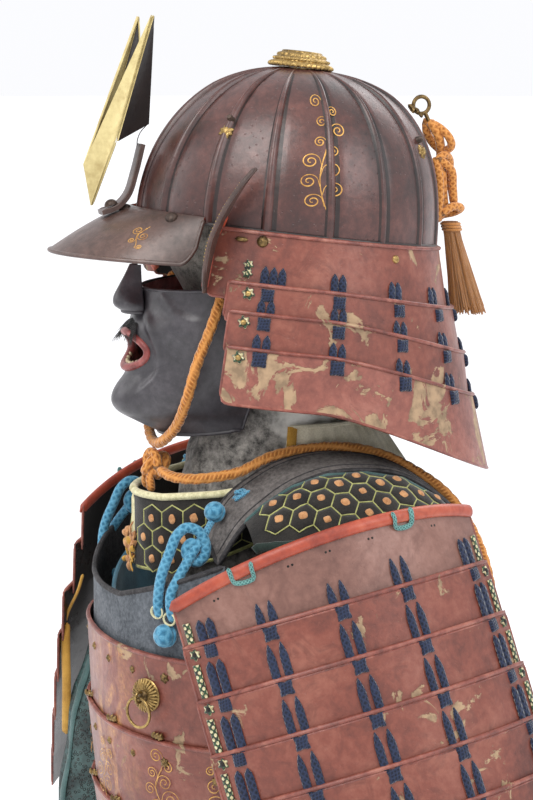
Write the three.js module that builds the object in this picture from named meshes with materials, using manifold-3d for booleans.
// Samurai armour on a limbless display form, life size, in millimetres, +Z up.
// The armour faces -Y and the wearer's left is +X. The origin is on the floor, under the stand's column.
// Angles run from the front (0) by the wearer's left (90) to the back (180).
import * as THREE from "three";
import { mergeVertices } from "three/addons/utils/BufferGeometryUtils.js";
import Module from "manifold-3d";

const wasm = await Module();
wasm.setup();

// ---- Driving sizes ----
const PLATE = 1.6; // lacquered plate of the laced lames
const SIDES = [
  { name: "left", sign: 1 },
  { name: "right", sign: -1 },
];

const HELMET = { z: 1030, tilt: 7 }; // rim's centre, and how far its front is raised
const BOWL = { halfWidth: 105, front: 129, back: 121, height: 131, wall: 2.4, apexForward: 8 };
const BOWL_PLATES = { count: 16, rib: 2.4, ribHalfAngle: 2.4 };
const VISOR = { halfAngle: 45, reach: 64, sideReach: 12, drop: 42, sideDrop: 37, corner: 0.92, wall: 2.2 };

// Neck guard: heights and offsets from the rim, at the side and at the back, and where each lame starts.
const NECK_GUARD = [
  { front: 50, top: { side: 0, back: 0, out: 3, outBack: 3 }, low: { side: -54, back: -62, out: 12, outBack: 20 } },
  { front: 58, top: { side: -40, back: -48, out: 14.5, outBack: 20.5 }, low: { side: -72, back: -96, out: 18.5, outBack: 36 } },
  { front: 60, top: { side: -62, back: -85, out: 20, outBack: 35.5 }, low: { side: -98, back: -130, out: 24.5, outBack: 47 } },
  { front: 61, top: { side: -89, back: -119, out: 26, outBack: 47.5 }, low: { side: -134, back: -182, out: 31, outBack: 70 } },
];

// Cuirass: plan of each ring, as half sizes about a centre behind the origin.
const CHEST = { centreY: -14, squareness: 2.25 };
const CUIRASS_RINGS = [
  { z: 712, halfWidth: 166, halfDepth: 155 },
  { z: 640, halfWidth: 166, halfDepth: 156 },
  { z: 570, halfWidth: 160, halfDepth: 153 },
  { z: 500, halfWidth: 153, halfDepth: 147 },
  { z: 428, halfWidth: 147, halfDepth: 141 },
];
const CUIRASS = { top: 706, pitch: 69, overlap: 11, lames: 4, wall: 2.4, step: 4, sideAngle: 89.3 };

// Shoulder guards: a tilted part-cylinder of seven lames hung outside each arm.
const SODE = { lames: 7, pitch: 41.5, top: 34, arch: 15, backRise: 5, overlap: 9, radius: 180, step: 3.2 };
const SODE_ARC = { halfAngle: 43, widen: 0.022 }; // degrees, and degrees per millimetre down
// slope is how much the lames drop toward the front, fall how far back they hang, lean how far out.
// forward is how far each lame has slid to the front on its laces.
const SODE_PLACE = {
  left: { x: 219, y: -25, z: 805, slope: 11.5, fall: 13.5, lean: 18, forward: [0, 0, 0, 0, 0, 0, 0] },
  right: { x: 217, y: -18, z: 802, slope: 8, fall: 1, lean: 21, forward: [0, 8, 22, 26, 26, 24, 20] },
};

// ---- Helpers ----
const rad = THREE.MathUtils.degToRad;
const lerp = THREE.MathUtils.lerp;
const vec = (x, y, z) => new THREE.Vector3(x, y, z);

// A value read along a table of rows, by straight lines between the rows.
function along(rows, key, column, value) {
  const rising = rows[rows.length - 1][key] > rows[0][key];
  const list = rising ? rows : [...rows].reverse();
  if (value <= list[0][key]) return list[0][column];
  for (let i = 1; i < list.length; i++) {
    const a = list[i - 1];
    const b = list[i];
    if (value <= b[key]) return lerp(a[column], b[column], (value - a[key]) / (b[key] - a[key]));
  }
  return list[list.length - 1][column];
}

function geometryOf(vertices, faces) {
  const geometry = new THREE.BufferGeometry();
  geometry.setAttribute("position", new THREE.Float32BufferAttribute(vertices.flatMap((p) => p.toArray()), 3));
  geometry.setIndex(faces);
  return geometry;
}

// A closed wall inside the face point(u, v): u runs anticlockwise seen from above, v runs down.
function wall(point, across, down, thickness, ring = false) {
  const columns = ring ? across : across + 1;
  const grid = [];
  for (let j = 0; j <= down; j++)
    for (let i = 0; i < columns; i++) grid.push(point(i / across, j / down, i, j));
  const at = (i, j) => {
    const column = ring ? (i + columns) % columns : THREE.MathUtils.clamp(i, 0, across);
    return grid[THREE.MathUtils.clamp(j, 0, down) * columns + column];
  };
  const inner = [];
  for (let j = 0; j <= down; j++)
    for (let i = 0; i < columns; i++) {
      const du = at(i + 1, j).clone().sub(at(i - 1, j));
      const dv = at(i, j + 1).clone().sub(at(i, j - 1));
      const normal = dv.cross(du).normalize();
      const depth = typeof thickness === "function" ? thickness(i / across, j / down) : thickness;
      inner.push(at(i, j).clone().addScaledVector(normal, -depth));
    }
  const count = grid.length;
  const id = (i, j) => j * columns + (ring ? i % columns : i);
  const faces = [];
  for (let i = 0; i < across; i++)
    for (let j = 0; j < down; j++) {
      const [a, b, c, d] = [id(i, j), id(i + 1, j), id(i + 1, j + 1), id(i, j + 1)];
      faces.push(a, d, b, b, d, c, a + count, b + count, d + count, b + count, c + count, d + count);
    }
  for (let i = 0; i < across; i++) {
    const [a, b, c, d] = [id(i, 0), id(i + 1, 0), id(i + 1, down), id(i, down)];
    faces.push(a, b, b + count, a, b + count, a + count, c, d, d + count, c, d + count, c + count);
  }
  for (let j = 0; j < down && !ring; j++) {
    const [a, b, c, d] = [id(0, j), id(across, j), id(across, j + 1), id(0, j + 1)];
    faces.push(d, a, a + count, d, a + count, d + count, b, c, c + count, b, c + count, b + count);
  }
  return geometryOf([...grid, ...inner], faces);
}

// A closed solid through rings of equal length, listed from the top down, each anticlockwise from above.
function loft(rings) {
  const sides = rings[0].length;
  const vertices = rings.flat();
  const faces = [];
  const last = (rings.length - 1) * sides;
  for (let j = 0; j + 1 < rings.length; j++)
    for (let i = 0; i < sides; i++) {
      const [a, b] = [j * sides + i, j * sides + ((i + 1) % sides)];
      faces.push(a, a + sides, b, b, a + sides, b + sides);
    }
  for (let i = 1; i + 1 < sides; i++) faces.push(0, i, i + 1, last, last + i + 1, last + i);
  return geometryOf(vertices, faces);
}

// A round cord along a smooth curve through the points.
function cord(points, diameter, sides, steps) {
  const section = new THREE.Shape();
  section.absarc(0, 0, diameter / 2, 0, 2 * Math.PI, false);
  const curve = new THREE.CatmullRomCurve3(points.map((p) => vec(...p)));
  return new THREE.ExtrudeGeometry(section, { steps, extrudePath: curve, curveSegments: sides / 2, bevelEnabled: false });
}

// A flat convex plate through the corners, thickened both ways.
function plate(corners, thickness) {
  const normal = corners[1].clone().sub(corners[0]).cross(corners[2].clone().sub(corners[0])).normalize();
  const shifted = (side) => corners.map((p) => p.clone().addScaledVector(normal, (side * thickness) / 2));
  return loft([shifted(1), shifted(-1)]);
}

// A lathed solid about +Z from [radius, height] pairs, listed with the solid on the left.
function turned(profile, segments) {
  return new THREE.LatheGeometry(profile.map(([r, h]) => new THREE.Vector2(r, h)), segments).rotateX(Math.PI / 2);
}

function solidOf(geometry) {
  const bare = new THREE.BufferGeometry().setAttribute("position", geometry.getAttribute("position"));
  if (geometry.index) bare.setIndex(geometry.index);
  const merged = mergeVertices(bare, 1e-4);
  return new wasm.Manifold(
    new wasm.Mesh({
      numProp: 3,
      vertProperties: new Float32Array(merged.attributes.position.array),
      triVerts: new Uint32Array(merged.index.array),
    }),
  );
}

function shapeOf(solid) {
  const mesh = solid.getMesh();
  const geometry = new THREE.BufferGeometry();
  geometry.setAttribute("position", new THREE.BufferAttribute(new Float32Array(mesh.vertProperties), 3));
  geometry.setIndex(new THREE.BufferAttribute(mesh.triVerts, 1));
  return geometry;
}

const joined = (...shapes) => shapeOf(shapes.map(solidOf).reduce((all, one) => all.add(one)));
const cut = (shape, tool) => shapeOf(solidOf(shape).subtract(solidOf(tool)));

// The mirror image, across the armour's middle plane, of a shape made for the left side.
function forSide(geometry, sign) {
  if (sign > 0) return geometry;
  const mirrored = geometry.clone().scale(-1, 1, 1);
  const index = mirrored.index ? mirrored.index.array : [...Array(mirrored.attributes.position.count).keys()];
  const turnedFaces = [];
  for (let i = 0; i < index.length; i += 3) turnedFaces.push(index[i], index[i + 2], index[i + 1]);
  mirrored.setIndex(turnedFaces);
  return mirrored;
}

// ---- Materials ----
const finish = (color, roughness, metalness = 0) => new THREE.MeshStandardMaterial({ color, roughness, metalness });
const BOWL_LACQUER = finish(0x4a2a24, 0.35, 0.2);
const RUSSET_LACQUER = finish(0x86453a, 0.42);
const GILT = finish(0xb8923e, 0.35, 0.9);
const MASK_LACQUER = finish(0x3c383b, 0.4, 0.1);
const BLUE_LEATHER = finish(0x3f4750, 0.75);
const GREY_LEATHER = finish(0x5d5754, 0.85);
const ORANGE_CORD = finish(0xb5692a, 0.9);
const BLUE_CORD = finish(0x2f6f9c, 0.85);
const BRIGANDINE = finish(0x1d1a18, 0.85);
const MAIL = finish(0x26302e, 0.8, 0.2);
const PALE_CLOTH = finish(0xb4ab90, 0.9);
const WHITE_CLOTH = finish(0xd8d4cc, 0.9);
const STAND_WOOD = finish(0x2a211c, 0.5);

const armour = new THREE.Group();
armour.name = "samurai_armour";

function add(name, geometry, material) {
  const mesh = new THREE.Mesh(geometry, material);
  mesh.name = name;
  armour.add(mesh);
  return mesh;
}

// ---- Helmet ----
const tiltSin = Math.sin(rad(HELMET.tilt));
const tiltCos = Math.cos(rad(HELMET.tilt));

// A point given from the centre of the helmet's rim, with the rim level, in the armour's frame.
function helmet(x, y, z) {
  return vec(x, y * tiltCos + z * tiltSin, HELMET.z + z * tiltCos - y * tiltSin);
}

// A point on the rim's oval, grown outward and lifted.
function aroundRim(angle, out, z) {
  const a = rad(angle);
  const halfLength = Math.cos(a) > 0 ? BOWL.front : BOWL.back;
  return helmet((BOWL.halfWidth + out) * Math.sin(a), -(halfLength + out) * Math.cos(a), z);
}

// Each plate has a raised rib on its seam, so the columns come in threes: rib, foot, next foot.
function bowlPoint(u, v, column) {
  const pitch = 360 / BOWL_PLATES.count;
  const part = column % 3;
  const seam = Math.floor(column / 3) * pitch;
  const angle = rad(seam + [0, BOWL_PLATES.ribHalfAngle, pitch - BOWL_PLATES.ribHalfAngle][part]);
  const power = 2 / (2.3 - 0.36 * Math.cos(angle)); // fuller behind than in front
  const t = lerp(rad(5), rad(90), v);
  const reach = Math.sin(t) ** power;
  const height = Math.cos(t) ** power;
  const rib = part === 0 ? BOWL_PLATES.rib * Math.min(1, 3 * v) : 0;
  const x = (BOWL.halfWidth * reach + rib) * Math.sin(angle);
  const halfLength = Math.cos(angle) > 0 ? BOWL.front : BOWL.back;
  const y = -(halfLength * reach + rib) * Math.cos(angle) - BOWL.apexForward * height;
  return helmet(x, y, BOWL.height * height);
}
add("helmet_bowl", wall(bowlPoint, 3 * BOWL_PLATES.count, 9, BOWL.wall, true), BOWL_LACQUER);

const FINIAL_PROFILE = [
  [12, 0], [26.5, -1.5], [27, 1], [23.5, 3], [23.5, 5.5], [20, 7], [20, 9.5], [16.5, 11.5], [12, 11.5], [12, 0],
];
const finial = add("helmet_finial", turned(FINIAL_PROFILE, 20), GILT);
finial.position.copy(helmet(0, -BOWL.apexForward, BOWL.height + 1));
finial.rotation.x = -rad(HELMET.tilt);

function visorPoint(u, v) {
  const side = 2 * u - 1;
  const middle = Math.cos((side * Math.PI) / 2) ** 1.2;
  const nearEnd = Math.max(0, (Math.abs(side) - VISOR.corner) / (1 - VISOR.corner));
  const depth = v * Math.sqrt(1 - 0.5 * nearEnd ** 2);
  const out = 4.4 + depth * (VISOR.sideReach + (VISOR.reach - VISOR.sideReach) * middle);
  const fall = (VISOR.sideDrop + (VISOR.drop - VISOR.sideDrop) * middle) * depth ** 1.3;
  return aroundRim(side * VISOR.halfAngle, out, 5 - fall);
}
add("helmet_visor", wall(visorPoint, 20, 3, VISOR.wall), BOWL_LACQUER);

// The strap that carries the crest: foot on the visor, then up along the front of the bowl.
const HOLDER_PATH = [
  { y: -160, z: 1048 },
  { y: -148, z: 1052 },
  { y: -139, z: 1061 },
  { y: -133, z: 1078 },
  { y: -127, z: 1101 },
];
const HOLDER = { halfWidth: 9, wall: 4 };
function holderPoint(u, v, i, j) {
  const row = HOLDER_PATH[HOLDER_PATH.length - 1 - j];
  return vec(lerp(-HOLDER.halfWidth, HOLDER.halfWidth, u), row.y, row.z);
}
add("crest_holder", wall(holderPoint, 1, HOLDER_PATH.length - 1, HOLDER.wall), BOWL_LACQUER);

// The crest: two gilt horns, each a front leaf with a black leaf folded back behind it.
const CREST = { wall: 1.4 };
const CREST_POINTS = {
  foot: vec(0, -166, 1052),
  crease: vec(0, -172, 1085),
  elbow: vec(20, -150, 1104),
  tip: vec(25, -121, 1202),
  back: vec(8, -122, 1117),
};
function horn(sign) {
  const p = {};
  for (const [name, point] of Object.entries(CREST_POINTS)) p[name] = point.clone().multiply(vec(sign, 1, 1));
  const leaf = plate([p.foot, p.elbow, p.tip, p.crease], CREST.wall);
  const web = plate([p.elbow, p.back, p.tip], CREST.wall);
  return [leaf, web];
}
add("crest", joined(...horn(1), ...horn(-1)), GILT);

// Neck guard: four flared lames, each outside the one above.
function lameShape({ front, top, low }) {
  return (u, v) => {
    const angle = lerp(front, 360 - front, u);
    const back = Math.max(0, -Math.cos(rad(angle))) ** 1.5;
    const out = lerp(lerp(top.out, top.outBack, back), lerp(low.out, low.outBack, back), v);
    const z = lerp(lerp(top.side, top.back, back), lerp(low.side, low.back, back), v);
    return aroundRim(angle, out, z);
  };
}
// The turn-back at each end of the first lame: a leaf standing out from its front edge.
const TURN_BACK = [
  { z: 1086, x: 107, y: -60, width: 8 },
  { z: 1075, x: 98, y: -66, width: 22 },
  { z: 1055, x: 89, y: -76, width: 35 },
  { z: 1032, x: 81, y: -84, width: 42 },
  { z: 1008, x: 84, y: -91, width: 32 },
  { z: 989, x: 86, y: -94.5, width: 12 },
];
const TURN_BACK_WALL = 2.4;
function turnBackPoint(u, v, i, j) {
  const row = TURN_BACK[j];
  return vec(row.x + 0.92 * row.width * u, row.y - 0.38 * row.width * u, row.z);
}
NECK_GUARD.forEach((row, i) => {
  let shape = wall(lameShape(row), 20, 1, PLATE);
  if (i === 0) {
    const leaf = wall(turnBackPoint, 2, TURN_BACK.length - 1, TURN_BACK_WALL);
    shape = joined(shape, leaf, forSide(leaf, -1));
  }
  add(`neck_guard_${i + 1}`, shape, RUSSET_LACQUER);
});

// Ring, knotted cord and tassel behind the helmet.
const REAR_RING = { radius: 7, wire: 2.6 };
const rearRing = add("rear_ring", new THREE.TorusGeometry(REAR_RING.radius, REAR_RING.wire / 2, 6, 12), GILT);
rearRing.position.set(0, 113, 1130);
rearRing.rotation.y = Math.PI / 2;
const TASSEL_CORD = { diameter: 8, route: [[0, 120, 1118], [4, 127, 1104], [-3, 132, 1086], [3, 131, 1069], [-2, 134, 1053], [0, 135, 1040]] };
add("tassel_cord", cord(TASSEL_CORD.route, TASSEL_CORD.diameter, 8, 12), ORANGE_CORD);
const TASSEL_PROFILE = [[0, 0], [17, 0], [14, 26], [9, 58], [7, 78], [0, 81]];
const tassel = add("tassel", turned(TASSEL_PROFILE, 10), ORANGE_CORD);
tassel.position.set(0, 156, 955);
tassel.rotation.x = rad(12);

// ---- Mask ----
// Each row is a level of the half mask: height in front and at the sides, and the oval there.
const MASK_CENTRE_Y = -62;
const MASK_ROWS = [
  { front: 985, side: 989, halfWidth: 71, reach: 64 },
  { front: 967, side: 972, halfWidth: 73, reach: 68 },
  { front: 953, side: 955, halfWidth: 72, reach: 75 },
  { front: 936, side: 938, halfWidth: 69, reach: 73 },
  { front: 921, side: 924, halfWidth: 66, reach: 76 },
  { front: 900, side: 906, halfWidth: 61, reach: 87 },
  { front: 886, side: 893, halfWidth: 56, reach: 85 },
  { front: 876, side: 883, halfWidth: 51, reach: 70 },
  { front: 866, side: 872, halfWidth: 49, reach: 50 },
];
const MASK = { wall: 2.2, halfAngle: 98, point: 1.4, mouthZ: 935, mouthHalfWidth: 27, mouthHalfHeight: 13 };
function maskPoint(u, v, i, j) {
  const row = MASK_ROWS[j];
  const angle = rad(lerp(-MASK.halfAngle, MASK.halfAngle, u));
  const forward = Math.max(0, Math.cos(angle));
  const z = lerp(row.side, row.front, forward);
  const y = Math.cos(angle) > 0 ? row.reach * forward ** MASK.point : row.reach * Math.cos(angle);
  return vec(row.halfWidth * Math.sin(angle), MASK_CENTRE_Y - y, z);
}
const mouth = new THREE.Shape();
mouth.absellipse(0, MASK.mouthZ, MASK.mouthHalfWidth, MASK.mouthHalfHeight, 0, 2 * Math.PI, false);
const mouthTool = new THREE.ExtrudeGeometry(mouth, { depth: 60, bevelEnabled: false, curveSegments: 8 })
  .rotateX(Math.PI / 2)
  .translate(0, -100, 0);
add("mask", cut(wall(maskPoint, 18, MASK_ROWS.length - 1, MASK.wall), mouthTool), MASK_LACQUER);

// The nose is a piece of its own, held in front of the mask.
const NOSE_ROWS = [
  { z: 1004, halfWidth: 8, reach: 5 },
  { z: 989, halfWidth: 10, reach: 13 },
  { z: 976, halfWidth: 16, reach: 17 },
  { z: 967, halfWidth: 17, reach: 10 },
];
const NOSE_BASE_Y = MASK_CENTRE_Y - 69;
function nosePoint(u, v, i, j) {
  const row = NOSE_ROWS[j];
  const angle = rad(lerp(-90, 90, u));
  return vec(row.halfWidth * Math.sin(angle), NOSE_BASE_Y - row.reach * Math.cos(angle), row.z);
}
add("mask_nose", wall(nosePoint, 6, NOSE_ROWS.length - 1, 1.8), MASK_LACQUER);

// ---- Chin cord ----
const CORD = { diameter: 9 };
const CHEEK_ROUTE = [
  [82, -79, 990], [80, -88, 962], [77, -100, 930], [69, -106, 902], [50, -110, 878], [24, -115, 862],
];
const CHIN_ROUTE = [...CHEEK_ROUTE, [0, -116, 857], ...[...CHEEK_ROUTE].reverse().map(([x, y, z]) => [-x, y, z])];
add("chin_cord", cord(CHIN_ROUTE, CORD.diameter, 8, 44), ORANGE_CORD);
const knotRings = [
  { z: 852, r: 6 }, { z: 847, r: 12 }, { z: 837, r: 13 }, { z: 828, r: 7 },
].map(({ z, r }) => oval(8, r, r * 0.9, 4, -117, z));
add("chin_knot", loft(knotRings), ORANGE_CORD);
// The free end lies over the left shoulder and hangs down the back.
const TAIL_ROUTE = [
  [22, -118, 838], [40, -111, 835], [54, -98, 835], [61, -82, 837], [65, -62, 841], [65, -36, 852], [65, -6, 857],
  [65, 26, 857], [65, 59, 849], [66, 88, 834], [69, 112, 816], [75, 129, 793], [80, 143, 760], [80, 151, 724],
  [80, 153, 690], [80, 153, 655],
];
const TAIL_KNOT = { sides: 8, x: 80, y: 153, rings: [[659, 5], [654, 8], [645, 8.5], [639, 5]] };
const tailKnot = loft(TAIL_KNOT.rings.map(([z, r]) => oval(TAIL_KNOT.sides, r, r, TAIL_KNOT.x, TAIL_KNOT.y, z)));
add("cord_tail", joined(cord(TAIL_ROUTE, CORD.diameter, 8, 48), tailKnot), ORANGE_CORD);

// An oval ring of points, anticlockwise from above, about (x, y) at height z.
function oval(sides, halfWidth, halfDepth, x, y, z) {
  return Array.from({ length: sides }, (_, i) => {
    const a = (2 * Math.PI * i) / sides;
    return vec(x + halfWidth * Math.sin(a), y - halfDepth * Math.cos(a), z);
  });
}

// ---- Display stand ----
const BASE = { width: 430, depth: 380, height: 28, column: 52 };
const board = new THREE.BoxGeometry(BASE.width, BASE.depth, BASE.height).translate(0, 0, BASE.height / 2);
const column = new THREE.BoxGeometry(BASE.column, BASE.column, 415).translate(0, 0, BASE.height - 1 + 415 / 2);
add("stand_base", joined(board, column), STAND_WOOD);

// The limbless form: trunk, neck and head block in one smooth solid, from the top down.
const FORM_ROWS = [
  { z: 1140, halfWidth: 26, halfDepth: 32, y: 4 },
  { z: 1126, halfWidth: 54, halfDepth: 66, y: 2 },
  { z: 1098, halfWidth: 75, halfDepth: 92, y: -2 },
  { z: 1060, halfWidth: 84, halfDepth: 103, y: -4 },
  { z: 1015, halfWidth: 81, halfDepth: 101, y: -6 },
  { z: 975, halfWidth: 61, halfDepth: 80, y: -8 },
  { z: 925, halfWidth: 50, halfDepth: 62, y: -10 },
  { z: 880, halfWidth: 50, halfDepth: 64, y: -14 },
  { z: 845, halfWidth: 53, halfDepth: 74, y: -14 },
  { z: 810, halfWidth: 64, halfDepth: 84, y: -12 },
  { z: 770, halfWidth: 69, halfDepth: 88, y: -12 },
  { z: 725, halfWidth: 116, halfDepth: 98, y: -12 },
  { z: 640, halfWidth: 132, halfDepth: 108, y: -12 },
  { z: 520, halfWidth: 120, halfDepth: 104, y: -12 },
  { z: 443, halfWidth: 112, halfDepth: 98, y: -10 },
];
const formRings = FORM_ROWS.map((row) => oval(20, row.halfWidth, row.halfDepth, 0, row.y, row.z));
add("display_form", loft(formRings), WHITE_CLOTH);

// ---- Cuirass ----
// A point on the cuirass's plan at a height, grown outward.
function aroundChest(angle, out, z) {
  const a = rad(angle);
  const power = 2 / CHEST.squareness;
  const round = (value) => Math.sign(value) * Math.abs(value) ** power;
  const halfWidth = along(CUIRASS_RINGS, "z", "halfWidth", z) + out;
  const halfDepth = along(CUIRASS_RINGS, "z", "halfDepth", z) + out;
  return vec(halfWidth * round(Math.sin(a)), CHEST.centreY - halfDepth * round(Math.cos(a)), z);
}

// Four front lames, each riveted outside the one above.
for (let i = 0; i < CUIRASS.lames; i++) {
  const top = CUIRASS.top - CUIRASS.pitch * i;
  const low = top - CUIRASS.pitch - CUIRASS.overlap;
  const shape = (u, v) => {
    const angle = lerp(-CUIRASS.sideAngle, CUIRASS.sideAngle, u);
    return aroundChest(angle, lerp(0, -CUIRASS.step, v), lerp(top, low, v));
  };
  add(`front_lame_${i + 1}`, wall(shape, 16, 1, CUIRASS.wall), RUSSET_LACQUER);
}
// The back's four lames are riveted into one stepped shell.
function backPoint(u, v, i, j) {
  const lame = Math.floor(j / 2);
  const top = CUIRASS.top - CUIRASS.pitch * lame;
  const angle = lerp(180 - CUIRASS.sideAngle, 180 + CUIRASS.sideAngle, u);
  return j % 2 === 0 ? aroundChest(angle, 0, top) : aroundChest(angle, -CUIRASS.step, top - CUIRASS.pitch + 0.6);
}
add("back_lames", wall(backPoint, 14, 2 * CUIRASS.lames - 1, CUIRASS.wall), RUSSET_LACQUER);

// Breast plate: stands inside the first lame, low at the throat and high under the straps.
const CHEST_PLATE = { halfAngle: 60, low: 690, inset: 5.5, wall: 3 };
const CHEST_PLATE_TOP = [
  { angle: 0, z: 742 }, { angle: 16, z: 744 }, { angle: 29, z: 754 }, { angle: 43, z: 765 }, { angle: 60, z: 782 },
];
function chestPlatePoint(u, v) {
  const angle = lerp(-CHEST_PLATE.halfAngle, CHEST_PLATE.halfAngle, u);
  const top = along(CHEST_PLATE_TOP, "angle", "z", Math.abs(angle));
  return aroundChest(angle, -CHEST_PLATE.inset, lerp(top, CHEST_PLATE.low, v));
}
add("chest_plate", wall(chestPlatePoint, 16, 1, CHEST_PLATE.wall), BLUE_LEATHER);

// Back plate: the same behind, highest at the nape.
const BACK_PLATE = { halfAngle: 60, low: 692, inset: 8, wall: 3 };
function backPlatePoint(u, v) {
  const angle = lerp(180 - BACK_PLATE.halfAngle, 180 + BACK_PLATE.halfAngle, u);
  const top = 770 + 32 * Math.cos(rad(1.5 * (angle - 180))) ** 2;
  return aroundChest(angle, -BACK_PLATE.inset, lerp(top, BACK_PLATE.low, v));
}
add("back_plate", wall(backPlatePoint, 14, 1, BACK_PLATE.wall), BLUE_LEATHER);

// Blue cloth lining that shows between the breast plate and the collar.
const LINING = { halfAngle: 66, inset: 22, below: 18, low: 650, wall: 2 };
function liningPoint(u, v) {
  const angle = lerp(-LINING.halfAngle, LINING.halfAngle, u);
  const top = along(CHEST_PLATE_TOP, "angle", "z", Math.abs(angle)) - LINING.below;
  return aroundChest(angle, -LINING.inset, lerp(top, LINING.low, v));
}
add("chest_lining", wall(liningPoint, 12, 1, LINING.wall), BLUE_CORD);

// ---- Shoulder straps and pads ----
const STRAP = { halfWidth: 21, wall: 4 };
const STRAP_PATH = [
  { x: 93, y: -93, z: 788, slope: 9 },
  { x: 92, y: -74, z: 815, slope: 9 },
  { x: 92, y: -57, z: 829, slope: 8 },
  { x: 92, y: -33, z: 843, slope: 6 },
  { x: 92, y: -4, z: 851, slope: 4 },
  { x: 92, y: 28, z: 851, slope: 3 },
  { x: 92, y: 58, z: 845, slope: 2 },
  { x: 92, y: 86, z: 829, slope: 2 },
  { x: 90, y: 110, z: 807, slope: 2 },
  { x: 88, y: 119, z: 792, slope: 2 },
];
const strapCurve = new THREE.CatmullRomCurve3(STRAP_PATH.map((p) => vec(p.x, p.y, p.z)));
function strapPoint(u, v) {
  const p = strapCurve.getPoint(v);
  const slope = along(STRAP_PATH, "y", "slope", p.y);
  return vec(p.x + lerp(STRAP.halfWidth, -STRAP.halfWidth, u), p.y, p.z - slope * (1 - 2 * u));
}
const PAD = { inner: 116, reach: 55, drop: 40, front: -72, back: 102, wall: 6, below: 6 };
function padPoint(u, v) {
  const y = lerp(PAD.front, PAD.back, v);
  const spread = 0.4 + 0.6 * Math.sin(Math.PI * THREE.MathUtils.clamp(v, 0.02, 0.98)) ** 0.6;
  const across = (1 - u) * spread;
  const ridge = along(STRAP_PATH, "y", "z", y);
  return vec(PAD.inner + PAD.reach * across, y, ridge - PAD.below - PAD.drop * across ** 1.6);
}

// Ties: a doubled cord from the breast plate up to the end of each strap.
const TIE = { diameter: 7 };
const TIE_ROUTE = [
  [105, -139, 741], [104, -140, 757], [102, -138, 772], [100, -127, 788], [99, -115, 800], [100, -104, 798],
  [102, -98, 788], [105, -103, 778], [108, -115, 775], [111.5, -128, 775], [114.5, -134, 757], [115, -133, 746],
  [115, -133, 738],
];

// ---- Collars ----
// Brigandine collar: a standing band, open in front, dropping behind.
const COLLAR_PLAN = { y: -22, halfWidth: 76, front: 113, back: 112, wall: 3.5 };
const COLLAR = [
  { angle: 3, top: 817, low: 756 },
  { angle: 30, top: 817, low: 758 },
  { angle: 60, top: 823, low: 772 },
  { angle: 85, top: 832, low: 792 },
  { angle: 110, top: 832, low: 798 },
  { angle: 180, top: 802, low: 772 },
];
function collarPoint(u, v) {
  const angle = lerp(3, 357, u);
  const fold = angle > 180 ? 360 - angle : angle;
  const a = rad(angle);
  const depth = Math.cos(a) > 0 ? COLLAR_PLAN.front : COLLAR_PLAN.back;
  const z = lerp(along(COLLAR, "angle", "top", fold), along(COLLAR, "angle", "low", fold), v);
  return vec(COLLAR_PLAN.halfWidth * Math.sin(a), COLLAR_PLAN.y - depth * Math.cos(a), z);
}
add("standing_collar", wall(collarPoint, 28, 2, COLLAR_PLAN.wall), BRIGANDINE);

// Pale cloth collar at the nape, inside the brigandine one.
const NAPE = { start: 84, y: -10, wall: 2.2 };
function napePoint(u, v) {
  const angle = lerp(NAPE.start, 360 - NAPE.start, u);
  const a = rad(angle);
  const back = Math.max(0, -Math.cos(a));
  const halfDepth = lerp(82 - 4 * (1 - back), 128, v);
  const z = lerp(874, lerp(842, 806, back ** 1.2), v);
  return vec(lerp(56, 59, v) * Math.sin(a), NAPE.y - halfDepth * Math.cos(a), z);
}
add("nape_collar", wall(napePoint, 14, 2, NAPE.wall), PALE_CLOTH);

// ---- Shoulder guards ----
// A point on a guard: across the arm (-1 front to 1 back), down from the top edge, and out from the face.
function sodePoint(place, share, down, out, forward = 0) {
  const a = rad(share * (SODE_ARC.halfAngle + SODE_ARC.widen * down)) - forward / SODE.radius;
  const across = (SODE.radius + out) * Math.sin(a);
  const outward = (SODE.radius + out) * Math.cos(a) - SODE.radius;
  const y = across * Math.cos(rad(place.slope)) + down * Math.sin(rad(place.fall));
  const drop = down * Math.cos(rad(place.fall)) - across * Math.sin(rad(place.slope));
  const lean = rad(place.lean);
  return vec(
    place.x + outward * Math.cos(lean) + drop * Math.sin(lean),
    place.y + y,
    place.z + outward * Math.sin(lean) - drop * Math.cos(lean),
  );
}
function sodeLame(place, i) {
  const low = SODE.top + SODE.pitch * i + (i === SODE.lames - 1 ? 4 : SODE.overlap);
  return wall((u, v) => {
    const share = 2 * u - 1;
    const edge = -SODE.arch * (1 - share * share) - SODE.backRise * (1 + share);
    const top = i === 0 ? edge : SODE.top + SODE.pitch * (i - 1);
    return sodePoint(place, share, lerp(top, low, v), lerp(SODE.step, 0, v), place.forward[i]);
  }, 10, 1, PLATE);
}

// ---- Sleeves ----
// A flattened tube of mail on cloth from the shoulder to the wrist.
const SLEEVE_ROWS = [
  { z: 780, x: 183, y: -26, halfWidth: 8, halfDepth: 38 },
  { z: 735, x: 194, y: -34, halfWidth: 17, halfDepth: 52 },
  { z: 660, x: 203, y: -46, halfWidth: 24, halfDepth: 57 },
  { z: 580, x: 209, y: -60, halfWidth: 26, halfDepth: 57 },
  { z: 500, x: 215, y: -74, halfWidth: 27, halfDepth: 54 },
  { z: 410, x: 222, y: -90, halfWidth: 27, halfDepth: 46 },
  { z: 320, x: 228, y: -106, halfWidth: 25, halfDepth: 38 },
];
const SLEEVE_FORWARD = { left: 0, right: 32 };
const SLEEVE = { sides: 14, wall: 2.5 };
function sleeveShape(forward) {
  return (u, v, i, j) => {
    const row = SLEEVE_ROWS[j];
    const a = 2 * Math.PI * u;
    const y = row.y - forward * Math.min(1, 2.5 * v);
    return vec(row.x + row.halfWidth * Math.sin(a), y - row.halfDepth * Math.cos(a), row.z);
  };
}

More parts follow.
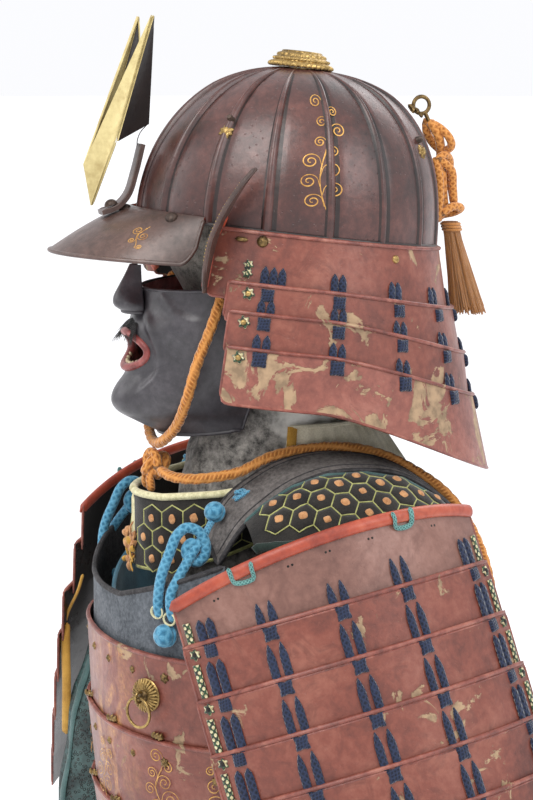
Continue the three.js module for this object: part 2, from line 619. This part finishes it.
for (const { name, sign } of SIDES) {
  add(`strap_${name}`, forSide(wall(strapPoint, 2, 12, STRAP.wall), sign), GREY_LEATHER);
  add(`pad_${name}`, forSide(wall(padPoint, 4, 9, PAD.wall), sign), BRIGANDINE);
  add(`tie_${name}`, forSide(cord(TIE_ROUTE, TIE.diameter, 6, 24), sign), BLUE_CORD);
  const sleeve = wall(sleeveShape(SLEEVE_FORWARD[name]), SLEEVE.sides, SLEEVE_ROWS.length - 1, SLEEVE.wall, true);
  add(`sleeve_${name}`, forSide(sleeve, sign), MAIL);
  for (let i = 0; i < SODE.lames; i++) {
    add(`shoulder_guard_${name}_${i + 1}`, forSide(sodeLame(SODE_PLACE[name], i), sign), RUSSET_LACQUER);
  }
}

// ---- Skirt ----
// Seven tassets of five lames, hung from the cuirass by a band of lacing.
const TASSET = { count: 7, top: 417, lacing: 50, pitch: 46, lames: 5, gapAngle: 3.2, flare: 9, wall: 2.2 };
function tassetShape(middle) {
  return (u, v, i, j) => {
    const share = 2 * u - 1;
    const lame = Math.floor((j - 1) / 2);
    const z = j === 0 ? TASSET.top : TASSET.top - TASSET.lacing - TASSET.pitch * (lame + (j % 2 === 0 ? 0.98 : 0));
    const fall = (TASSET.top - z) / TASSET.pitch;
    const out = j === 0 ? -6 : -4 + TASSET.flare * fall - (j % 2 === 0 ? 3 : 0);
    const half = 180 / TASSET.count - TASSET.gapAngle / 2;
    return aroundChest(middle + share * half, out, z);
  };
}
for (let i = 0; i < TASSET.count; i++) {
  const middle = (360 * i) / TASSET.count;
  add(`tasset_${i + 1}`, wall(tassetShape(middle), 4, 2 * TASSET.lames, TASSET.wall), RUSSET_LACQUER);
}

// ---- Breast ring ----
// A chrysanthemum boss with an eye, and the ring that swings in it.
const RING = { angle: 33, z: 672, roseOut: 1.6, eyeOut: 8.4, eyeRadius: 4.2, eyeWire: 2.2, radius: 12, wire: 2.4 };
const boss = aroundChest(RING.angle, 0, RING.z);
const outward = boss.clone().sub(aroundChest(RING.angle, -10, RING.z)).setZ(0).normalize();
const tangent = vec(-outward.y, outward.x, 0);
const facing = new THREE.Matrix4().makeBasis(tangent, vec(0, 0, 1).cross(tangent), vec(0, 0, 1));
const placed = (geometry, out, up) => {
  const centre = boss.clone().addScaledVector(outward, out).setZ(RING.z + up);
  return geometry.applyMatrix4(facing).translate(centre.x, centre.y, centre.z);
};
// In the boss's own frame X is the tangent, Y points at the armour and Z up.
const ROSE_PROFILE = [[0, -2.4], [14, -2.4], [14.5, -0.6], [11, 1.4], [4, 3.4], [0, 3.4]];
const rose = turned(ROSE_PROFILE, 16).rotateX(Math.PI / 2);
const eye = new THREE.TorusGeometry(RING.eyeRadius, RING.eyeWire / 2, 6, 12).rotateY(Math.PI / 2);
add("ring_mount", joined(placed(rose, RING.roseOut, 0), placed(eye, RING.eyeOut, 0)), GILT);
const loop = new THREE.TorusGeometry(RING.radius, RING.wire / 2, 6, 20).rotateX(Math.PI / 2);
add("breast_ring", placed(loop, RING.eyeOut + 1.2, -RING.radius), GILT);

export default armour;
